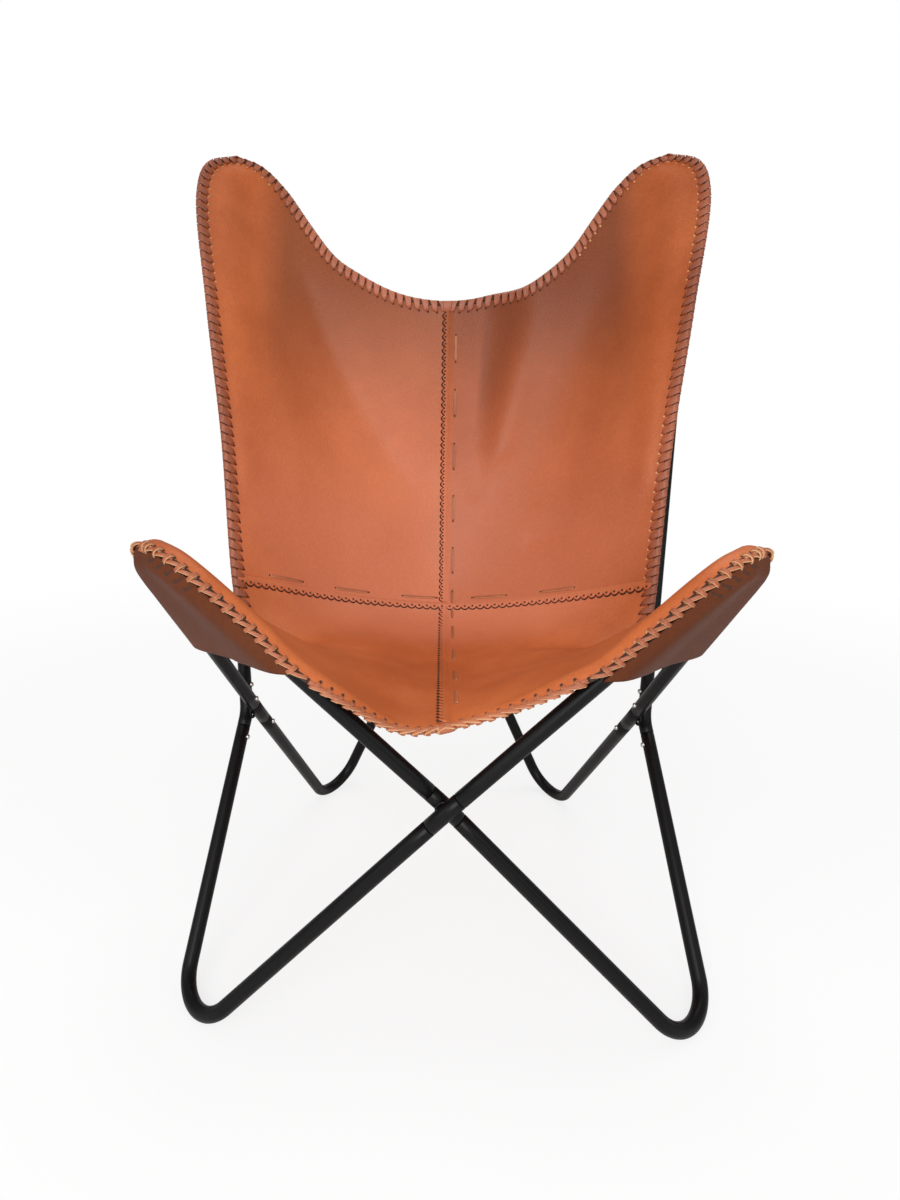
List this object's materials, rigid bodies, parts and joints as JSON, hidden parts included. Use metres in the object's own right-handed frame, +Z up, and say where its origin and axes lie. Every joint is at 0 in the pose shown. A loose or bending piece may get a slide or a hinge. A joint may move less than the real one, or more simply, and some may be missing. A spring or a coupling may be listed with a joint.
{
  "type": "butterfly sling chair",
  "caption": "Low lounge chair: a laced leather sling hung on a knock-down frame of bent steel tube loops joined at cross fittings with snap buttons.",
  "frame": {"origin": "on the floor under the middle of the chair", "axes": "+Z up, the sitter faces -Y, +X towards the sitter's left"},
  "size_m": [0.7018, 0.6316, 0.9572],
  "materials": {
    "black_coat": "black powder coat, semi-gloss",
    "bright_steel": "bright zinc",
    "tan_leather": "tan, waxed",
    "dark_leather": "dark brown",
    "lace_leather": "tan thong"
  },
  "bodies": {
    "frame": {"front_left_leg_loop": "black_coat", "front_right_leg_loop": "black_coat", "rear_left_leg_loop": "black_coat", "rear_right_leg_loop": "black_coat", "left_arm_loop": "black_coat", "right_arm_loop": "black_coat", "left_back_loop": "black_coat", "right_back_loop": "black_coat", "front_cross": "black_coat", "left_cross": "black_coat", "right_cross": "black_coat", "rear_cross": "black_coat", "right_seat_panel": "tan_leather", "right_back_panel": "tan_leather", "right_arm_pocket": "dark_leather", "right_ear_pocket": "dark_leather", "right_edge_lacing": "lace_leather", "left_seat_panel": "tan_leather", "left_back_panel": "tan_leather", "left_arm_pocket": "dark_leather", "left_ear_pocket": "dark_leather", "left_edge_lacing": "lace_leather", "front_edge_lacing": "lace_leather", "top_edge_lacing": "lace_leather", "crease_lacing": "lace_leather", "seat_seam_lacing": "lace_leather", "back_seam_lacing": "lace_leather"},
    "front_left_leg_button_at_front": {"front_left_leg_button_at_front": "bright_steel"},
    "right_arm_button_at_front": {"right_arm_button_at_front": "bright_steel"},
    "front_right_leg_button_at_front": {"front_right_leg_button_at_front": "bright_steel"},
    "left_arm_button_at_front": {"left_arm_button_at_front": "bright_steel"},
    "front_left_leg_button_at_left": {"front_left_leg_button_at_left": "bright_steel"},
    "left_back_button_at_left": {"left_back_button_at_left": "bright_steel"},
    "rear_left_leg_button_at_left": {"rear_left_leg_button_at_left": "bright_steel"},
    "left_arm_button_at_left": {"left_arm_button_at_left": "bright_steel"},
    "front_right_leg_button_at_right": {"front_right_leg_button_at_right": "bright_steel"},
    "right_back_button_at_right": {"right_back_button_at_right": "bright_steel"},
    "rear_right_leg_button_at_right": {"rear_right_leg_button_at_right": "bright_steel"},
    "right_arm_button_at_right": {"right_arm_button_at_right": "bright_steel"},
    "rear_right_leg_button_at_rear": {"rear_right_leg_button_at_rear": "bright_steel"},
    "left_back_button_at_rear": {"left_back_button_at_rear": "bright_steel"},
    "rear_left_leg_button_at_rear": {"rear_left_leg_button_at_rear": "bright_steel"},
    "right_back_button_at_rear": {"right_back_button_at_rear": "bright_steel"}
  },
  "joints": [
    {"name": "front_left_leg_button_at_front_press", "type": "slide", "parent": "frame", "child": "front_left_leg_button_at_front", "axis": [-0.0054, -0.9999, -0.0131], "range_m": [0, 0.003], "stiffness_N_per_m": 800},
    {"name": "right_arm_button_at_front_press", "type": "slide", "parent": "frame", "child": "right_arm_button_at_front", "axis": [0.0067, -1, -0.0009], "range_m": [0, 0.003], "stiffness_N_per_m": 800},
    {"name": "front_right_leg_button_at_front_press", "type": "slide", "parent": "frame", "child": "front_right_leg_button_at_front", "axis": [-0.0283, -0.9994, 0.0217], "range_m": [0, 0.003], "stiffness_N_per_m": 800},
    {"name": "left_arm_button_at_front_press", "type": "slide", "parent": "frame", "child": "left_arm_button_at_front", "axis": [0.0278, -0.999, -0.035], "range_m": [0, 0.003], "stiffness_N_per_m": 800},
    {"name": "front_left_leg_button_at_left_press", "type": "slide", "parent": "frame", "child": "front_left_leg_button_at_left", "axis": [-0.9902, 0.1366, -0.029], "range_m": [0, 0.003], "stiffness_N_per_m": 800},
    {"name": "left_back_button_at_left_press", "type": "slide", "parent": "frame", "child": "left_back_button_at_left", "axis": [-0.9883, 0.0417, -0.1466], "range_m": [0, 0.003], "stiffness_N_per_m": 800},
    {"name": "rear_left_leg_button_at_left_press", "type": "slide", "parent": "frame", "child": "rear_left_leg_button_at_left", "axis": [-0.9905, 0.0642, -0.1217], "range_m": [0, 0.003], "stiffness_N_per_m": 800},
    {"name": "left_arm_button_at_left_press", "type": "slide", "parent": "frame", "child": "left_arm_button_at_left", "axis": [-0.99, 0.0664, -0.1247], "range_m": [0, 0.003], "stiffness_N_per_m": 800},
    {"name": "front_right_leg_button_at_right_press", "type": "slide", "parent": "frame", "child": "front_right_leg_button_at_right", "axis": [0.99, 0.1383, -0.0276], "range_m": [0, 0.003], "stiffness_N_per_m": 800},
    {"name": "right_back_button_at_right_press", "type": "slide", "parent": "frame", "child": "right_back_button_at_right", "axis": [0.9881, 0.0411, -0.1479], "range_m": [0, 0.003], "stiffness_N_per_m": 800},
    {"name": "rear_right_leg_button_at_right_press", "type": "slide", "parent": "frame", "child": "rear_right_leg_button_at_right", "axis": [0.9901, 0.066, -0.1237], "range_m": [0, 0.003], "stiffness_N_per_m": 800},
    {"name": "right_arm_button_at_right_press", "type": "slide", "parent": "frame", "child": "right_arm_button_at_right", "axis": [0.9903, 0.0646, -0.1226], "range_m": [0, 0.003], "stiffness_N_per_m": 800},
    {"name": "rear_right_leg_button_at_rear_press", "type": "slide", "parent": "frame", "child": "rear_right_leg_button_at_rear", "axis": [0.0008, 0.9949, -0.1012], "range_m": [0, 0.003], "stiffness_N_per_m": 800},
    {"name": "left_back_button_at_rear_press", "type": "slide", "parent": "frame", "child": "left_back_button_at_rear", "axis": [-0.0065, 0.9962, -0.0866], "range_m": [0, 0.003], "stiffness_N_per_m": 800},
    {"name": "rear_left_leg_button_at_rear_press", "type": "slide", "parent": "frame", "child": "rear_left_leg_button_at_rear", "axis": [0.0173, 0.9979, -0.0621], "range_m": [0, 0.003], "stiffness_N_per_m": 800},
    {"name": "right_back_button_at_rear_press", "type": "slide", "parent": "frame", "child": "right_back_button_at_rear", "axis": [-0.0041, 0.9942, -0.1077], "range_m": [0, 0.003], "stiffness_N_per_m": 800}
  ]
}
